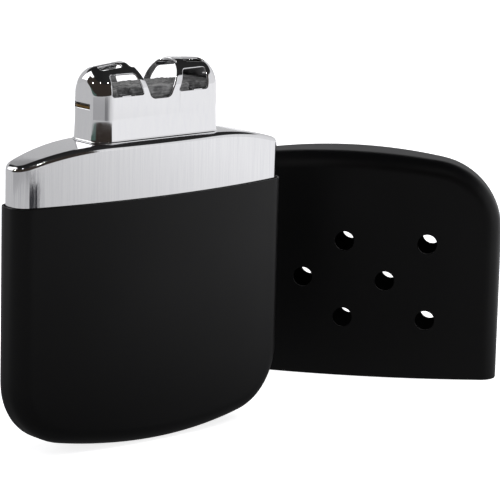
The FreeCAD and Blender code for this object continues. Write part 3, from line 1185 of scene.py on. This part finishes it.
@dataclass
class Wool:
    """The catalyst: a crowned mat of coated glass wool with loose fibres on it, in its CAD node's room.

    It is pressed down where the hood's tongues reach in over it: within room_half of each tongue's middle
    along X, further out than room_inner along Y and above room_low.
    """

    node: str
    tongues: Sequence[Two]
    room_half: float
    room_inner: float
    room_low: float
    room_corner: float = 0.3
    corner: float = 2.2
    shoulder: float = 1.9
    slack: float = 0.75
    nap: float = 0.05
    grain: float = 0.3
    lumps: Three = (1.4, 0.55, 0.55)  # size, reach, the clouds' value at which nothing moves
    tufts: Three = (0.4, 0.22, 0.5)
    fibres: int = 240
    fibre_radius: float = 0.028
    fibre_reach: Two = (1.0, 3.2)
    fibre_heading: float = 0.35
    fibre_sway: float = 0.16
    top_share: float = 0.6

    def __post_init__(self) -> None:
        """Take the room's size from the node, in millimetres."""
        near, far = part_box(self.node)
        self.length, self.width = ((far[axis] - near[axis]) / MM for axis in (0, 1))
        self.low, self.high = near[2] / MM, far[2] / MM
        self.top = self.high - self.slack

    def build(self) -> None:
        """Model the mat and its fibres as one piece."""
        mat = oval_block("wool", (self.length, self.width), self.corner, (self.low, self.top - self.nap))
        cut_away(mat, [self.tongue_cutter(x, y) for x, y in self.tongues], open_sheet=False)
        loosen(mat, self.grain, 6)
        ruffle(mat, *self.lumps)
        ruffle(mat, *self.tufts)
        join(mat, self.loose_fibres())
        self.keep_inside(mat)
        finish(mat, GLASS_WOOL, "burner", self.node)

    def tongue_cutter(self, x: float, y: float) -> Piece:
        """Make the room of one tongue.

        Args:
            x: The tongue's middle.
            y: The hood's face that it grows from.

        Returns:
            A closed block.
        """
        half = (abs(y) - self.room_inner) / 2
        plan = (2 * self.room_half, 2 * half)
        room = oval_block("room", plan, self.room_corner, (self.room_low, self.high + 1))
        room.location = (x, math.copysign(self.room_inner + half, y), 0)
        return room

    def under_tongue(self, x: float, y: float, z: float) -> bool:
        """Tell whether a place lies in the room of a tongue."""
        close = any(abs(x - across) < self.room_half and y * side > 0 for across, side in self.tongues)
        return close and abs(y) > self.room_inner and z > self.room_low

    def loose_fibres(self) -> Piece:
        """Lay short bent fibres over the mat's top and sides, mostly along its length.

        Returns:
            The fibres as one mesh.
        """
        seeded = random.Random(5)
        curve = bpy.data.curves.new("fibres", "CURVE")
        curve.dimensions = "3D"
        curve.bevel_depth = self.fibre_radius
        curve.bevel_resolution = 0
        curve.resolution_u = 3
        for _ in range(self.fibres):
            on_top = seeded.random() < self.top_share
            x = seeded.uniform(-0.46, 0.46) * self.length
            y = seeded.uniform(-0.44, 0.44) * self.width
            z = self.top + seeded.uniform(-0.15, 0.1)
            if not on_top:
                y = math.copysign(self.width / 2 + seeded.uniform(-0.12, 0.02), y)
                z = seeded.uniform(self.low + 0.3, self.top - 0.3)
            heading = seeded.gauss(0, self.fibre_heading)
            reach = seeded.uniform(*self.fibre_reach)
            places = []
            for index in range(4):
                along = (index / 3 - 0.5) * reach
                across = along * math.sin(heading) + seeded.gauss(0, self.fibre_sway)
                place = (x + along * math.cos(heading), y, z + across * 0.6)
                if on_top:
                    place = (place[0], y + across, z + seeded.gauss(0, 0.06))
                places.append(place)
            if any(self.under_tongue(*place) for place in places):
                continue
            spline = curve.splines.new("NURBS")
            spline.points.add(3)
            for place, point in zip(places, spline.points):
                point.co = (*place, 1)
            spline.order_u = 3
            spline.use_endpoint_u = True
        choose(add_object("fibres", curve))
        bpy.ops.object.convert(target="MESH")
        return bpy.context.object

    def keep_inside(self, mat: Piece) -> None:
        """Hold every vertex within the room that the hood leaves, which is round over the shoulder.

        Args:
            mat: The mat with its fibres.
        """
        for vertex in mat.data.vertices:
            vertex.co.z = held(vertex.co.z, self.low, self.high)
            over = max(0, vertex.co.z - self.high + self.shoulder)
            half = math.sqrt((self.width / 2) ** 2 - over ** 2)
            vertex.co.y = held(vertex.co.y, -half, half)
            vertex.co.x = held(vertex.co.x, -self.length / 2, self.length / 2)


@dataclass
class Wad:
    """A soft wad in the tank: a slightly slack block of fibres in its CAD node's room."""

    node: str
    look: Finish
    slot: str
    body: str
    grain: float = 0.7
    lumps: Three = (3.0, -0.5, 0.4)

    def build(self) -> None:
        """Model the wad from its node's own mesh, slackened within its box."""
        low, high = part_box(self.node)
        wad = add_object(self.node + "_fill", bpy.data.objects[self.node].data.copy())
        wad.scale = (1 / MM, 1 / MM, 1 / MM)
        settle(wad)
        merge_close(wad, TINY)
        loosen(wad, self.grain, 4)
        ruffle(wad, *self.lumps)
        for vertex in wad.data.vertices:
            for axis in range(3):
                vertex.co[axis] = held(vertex.co[axis], low[axis] / MM, high[axis] / MM)
        finish(wad, self.look, self.body, self.node)


@dataclass
class Lid:
    """The vented cap, modelled crown down like the case, then turned over and stood on its rim."""

    form: BodyForm
    height: float = 49.4
    corner_radius: float = 15.6
    vent_diameter: float = 4.2
    vent_pitch: float = 17.9
    vent_row_pitch: float = 8.45
    vent_rows: tuple[int, ...] = (3, 2, 3)
    vent_middle_height: float = 21.5
    vent_bevel: float = 0.09
    park: Two = (70.3, 16.9)
    park_turn: float = -48.9

    def build(self) -> None:
        """Model the lid, drill its vents and stand it beside the tank."""
        lid = self.form.cup("lid", self.height, self.corner_radius)
        cut_away(lid, [self.drills()], open_sheet=False)
        near = self.vent_diameter / 2 + 0.05
        places = self.vent_places()

        def on_vent_rim(edge: Edge) -> bool:
            """Tell whether an edge belongs to a vent's rim."""
            middle = (edge.verts[0].co + edge.verts[1].co) / 2
            return is_sharp(edge) and any(math.hypot(middle.x - x, middle.z - z) < near for x, z in places)

        bevel_edges(lid, on_vent_rim, self.vent_bevel, 2)
        lid.rotation_euler = (math.pi, 0, math.radians(self.park_turn))
        lid.location = (*self.park, self.height)
        settle(lid)
        finish(lid, BLACK_COAT, "lid", "lid_shell")

    def vent_places(self) -> list[Two]:
        """Give the vents' middles before the lid is turned over.

        Returns:
            Each middle as (x, z).
        """
        middle = self.height - self.vent_middle_height
        places = []
        for row, count in enumerate(self.vent_rows):
            z = middle + (row - 1) * self.vent_row_pitch
            places += [((index - (count - 1) / 2) * self.vent_pitch, z) for index in range(count)]
        return places

    def drills(self) -> Piece:
        """Make the drills for all vents as one piece.

        Returns:
            A closed cylinder along Y for each vent.
        """
        bits = [
            add_primitive(
                "drill", bpy.ops.mesh.primitive_cylinder_add, vertices=40, radius=self.vent_diameter / 2,
                depth=2 * self.form.thickness, location=(x, 0, z), rotation=(QUARTER, 0, 0))
            for x, z in self.vent_places()
        ]
        join(*bits)
        settle(bits[0])
        return bits[0]


# ---------------- studio
@dataclass(frozen=True)
class Card:
    """A glowing card that runs round a middle, upright or flat, and that only reflections see: a painted
    reflection of dark or grey things round the object.

    Its azimuths count in degrees from the front towards +X. Each long edge is a distance from the middle and
    a height, in millimetres.
    """

    name: str
    middle: Two
    azimuths: Two
    near: Two
    far: Two
    colour: str
    steps: int = 24

    def build(self) -> None:
        """Model the card and let it shine."""
        first, last = (math.radians(azimuth) for azimuth in self.azimuths)
        card = start_point(self.name, (0, -self.near[0], self.near[1]))
        with editing(card):
            take_all()
            extrude((0, self.near[0] - self.far[0], self.far[1] - self.near[1]), region=False)
            take_all()
            bpy.ops.mesh.spin(steps=self.steps, angle=first - last, center=(0, 0, 0), axis=(0, 0, 1))
        card.location = (self.middle[0] * MM, self.middle[1] * MM, 0)
        card.rotation_euler.z = first
        card.scale = (MM, MM, MM)
        material = bpy.data.materials.new(self.name)
        tree = empty_tree(material)
        shine = add_node(tree, "Emission", {"Color": linear(self.colour)})
        add_node(tree, "OutputMaterial", {"Surface": shine})
        card.data.materials.append(material)
        card.visible_camera = False
        card.visible_diffuse = False
        card.visible_shadow = False


@dataclass(frozen=True)
class Lamp:
    """A square area lamp that looks at the object, in degrees, millimetres and watts.

    Its azimuth counts from the front towards +X and its elevation from the horizon.
    """

    name: str
    azimuth: float
    elevation: float
    distance: float
    size: float
    power: float
    glossy: bool = True

    def build(self, middle: Vector) -> None:
        """Hang the lamp.

        Args:
            middle: What it looks at.
        """
        turn, rise = math.radians(self.azimuth), math.radians(self.elevation)
        way = Vector((math.sin(turn) * math.cos(rise), -math.cos(turn) * math.cos(rise), math.sin(rise)))
        light = bpy.data.lights.new(self.name, "AREA")
        light.size = self.size * MM
        light.energy = self.power
        lamp = add_object(self.name, light)
        lamp.location = (middle + way * self.distance) * MM
        lamp.rotation_euler = way.to_track_quat("Z", "Y").to_euler()
        lamp.visible_camera = False
        lamp.visible_glossy = self.glossy


@dataclass
class Studio:
    """A white floor and low backdrop under a dark ceiling, with soft boxes and a dark camera side."""

    # Painted reflections: glowing cards, no lamps, that put dark and grey patches into the metal's
    # reflections.
    cards: tuple[Card, ...] = (
        Card("sheet_edge", (-31, -4), (0, 14.2), (240, 0.3), (297, 0.3), "#333337"),
        Card("sheet_fold", (-31, -4), (1, 12.6), (308.5, 0.3), (313, 0.3), "#2c2c30"),
        Card("sheet_far", (-15, -18), (-128, 4), (306, 0.3), (470, 0.3), "#a8a8aa"),
        Card("sheet_gap", (-15, -18), (-32, -8), (305, 0.5), (471, 0.5), "#808082"),
        Card("room_front", (-15, -18), (-139, 24), (570, 0), (570, 560), "#352f2b"),
        Card("low_bench", (-15, -18), (-139, -98), (565, 0), (565, 45), "#4c605a"),
    )
    lamps: tuple[Lamp, ...] = (
        Lamp("key", 75, 48, 700, 420, 2.4, glossy=False),
        Lamp("fill", -140, 30, 700, 440, 0.94),
        Lamp("top", 0, 88, 800, 500, 1.5, glossy=False),
        Lamp("spot_0", -112, 21, 440, 12, 0.04),
        Lamp("spot_1", -68, 42, 440, 12, 0.04),
        Lamp("spot_2", -5, 47, 440, 12, 0.04),
    )
    camera_place: Three = (-348.0, -441.6, 154.9)
    yaw: float = 0.705
    pitch: float = 0.205
    roll: float = 0.025
    focal_pixels: float = 2887.0
    image_size: float = 500.0
    sensor: float = 36.0
    middle: Three = (20.0, 5.0, 40.0)
    floor_size: float = 12.0
    floor_white: str = "#f5f5f7"
    floor_glow: float = 0.8
    mirrored_white: str = "#f7f7f9"
    painted_shadow_near: Four = (0.03, 0.21, 0.25, 1.0)  # painted shadow in reflections of the floor: from and to, in metres from the middle; their strengths
    painted_light_across: Four = (0.0, 0.28, 0.6, 1.03)  # painted light in reflections of the floor, brighter towards +X: from and to, in metres along X; their strengths
    world_white: str = "#fdfdff"
    world_band: Four = (0.5, 0.44, 0.026, 0.83)  # from and to, as a direction's upward part; their strengths
    bright_way: Three = (0.7, -0.7, 0.0)
    world_bright: Four = (-0.2, 0.8, 0.64, 1.0)  # from and to, as a direction's part that way; their strengths

    def build(self) -> None:
        """Make the camera, floor, world, cards and lamps."""
        self.add_camera()
        self.add_floor()
        self.add_world()
        for card in self.cards:
            card.build()
        for lamp in self.lamps:
            lamp.build(Vector(self.middle))
        bpy.context.scene.view_settings.view_transform = "Standard"

    def add_camera(self) -> None:
        """Place the camera from its yaw, pitch and roll."""
        lens = bpy.data.cameras.new("camera")
        lens.sensor_width = self.sensor
        lens.lens = self.focal_pixels / self.image_size * self.sensor
        lens.clip_start = 0.01
        camera = add_object("camera", lens)
        camera.matrix_world = Matrix.Translation(Vector(self.camera_place) * MM)
        for angle, axis in ((-self.yaw, "Z"), (QUARTER - self.pitch, "X"), (self.roll, "Z")):
            camera.matrix_world = camera.matrix_world @ Matrix.Rotation(angle, 4, axis)
        bpy.context.scene.camera = camera

    def add_floor(self) -> None:
        """Lay a white floor that keeps a faint shadow under the object; in reflections it shows a painted
        shadow near the object and painted light growing towards +X.
        """
        floor = add_primitive("floor", bpy.ops.mesh.primitive_plane_add, size=self.floor_size)
        material = bpy.data.materials.new("white_studio_floor")
        tree = empty_tree(material)
        rays = add_node(tree, "LightPath").outputs
        matt = add_node(tree, "BsdfDiffuse", {"Color": linear(self.floor_white)})
        glow = add_node(tree, "Emission", {"Strength": self.floor_glow})
        lit = add_node(tree, "AddShader", {0: matt, 1: glow})
        seen = add_node(tree, "MixShader", {0: rays["Is Camera Ray"], 1: matt, 2: lit})
        spot = add_node(tree, "TexCoord").outputs["Object"]
        reach = add_node(tree, "VectorMath", {0: spot}, operation="LENGTH").outputs["Value"]
        # Painted shadow: the floor that reflections see is darker near the object.
        near = add_node(tree, "MapRange", {"Value": reach, **dict(zip(RAMP, self.painted_shadow_near))})
        place = add_node(tree, "SeparateXYZ", {0: spot})
        # Painted light: the floor that reflections see grows brighter towards +X.
        across = add_node(tree, "MapRange", {"Value": place, **dict(zip(RAMP, self.painted_light_across))})
        strength = add_node(tree, "Math", {0: across, 1: near}, operation="MULTIPLY")
        mirrored = add_node(tree, "Emission", {"Color": linear(self.mirrored_white), "Strength": strength})
        glossy = add_node(
            tree, "Math", {0: rays["Is Glossy Ray"], 1: rays["Is Transmission Ray"]}, operation="MAXIMUM")
        both = add_node(tree, "MixShader", {0: glossy, 1: seen, 2: mirrored})
        add_node(tree, "OutputMaterial", {"Surface": both})
        floor.data.materials.append(material)

    def add_world(self) -> None:
        """Surround the object with a white band near the horizon and a dark ceiling above it."""
        world = bpy.data.worlds.new("studio")
        bpy.context.scene.world = world
        tree = empty_tree(world)
        rays = add_node(tree, "LightPath").outputs
        way = add_node(tree, "TexCoord").outputs["Generated"]
        height = add_node(tree, "SeparateXYZ", {0: way}).outputs[2]
        band = add_node(
            tree, "MapRange", {"Value": height, **dict(zip(RAMP, self.world_band))},
            interpolation_type="SMOOTHSTEP")
        sideways = add_node(tree, "VectorMath", {0: way, 1: self.bright_way}, operation="DOT_PRODUCT")
        brighter = add_node(tree, "MapRange", {
            "Value": sideways.outputs["Value"], **dict(zip(RAMP, self.world_bright))})
        shaded = add_node(tree, "Math", {0: band, 1: brighter}, operation="MULTIPLY")
        strength = add_node(tree, "Math", {0: shaded, 1: rays["Is Camera Ray"]}, operation="MAXIMUM")
        shine = add_node(tree, "Background", {"Color": linear(self.world_white), "Strength": strength})
        add_node(tree, "OutputWorld", {"Surface": shine})


def main() -> None:
    """Load the frame and build every sub-assembly and the studio."""
    logging.basicConfig(level=logging.INFO, format="%(name)s: %(message)s")
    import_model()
    for look in (BLACK_COAT, CHROME, HOOD_CHROME, STEEL, BRASS, GLASS_WOOL, FELT, COTTON):
        look.make()
    form = BodyForm()
    for assembly in (Tank(form), Burner(), Lid(form), Studio()):
        LOG.info("building the %s", type(assembly).__name__.lower())
        assembly.build()


if __name__ == "__main__":
    main()
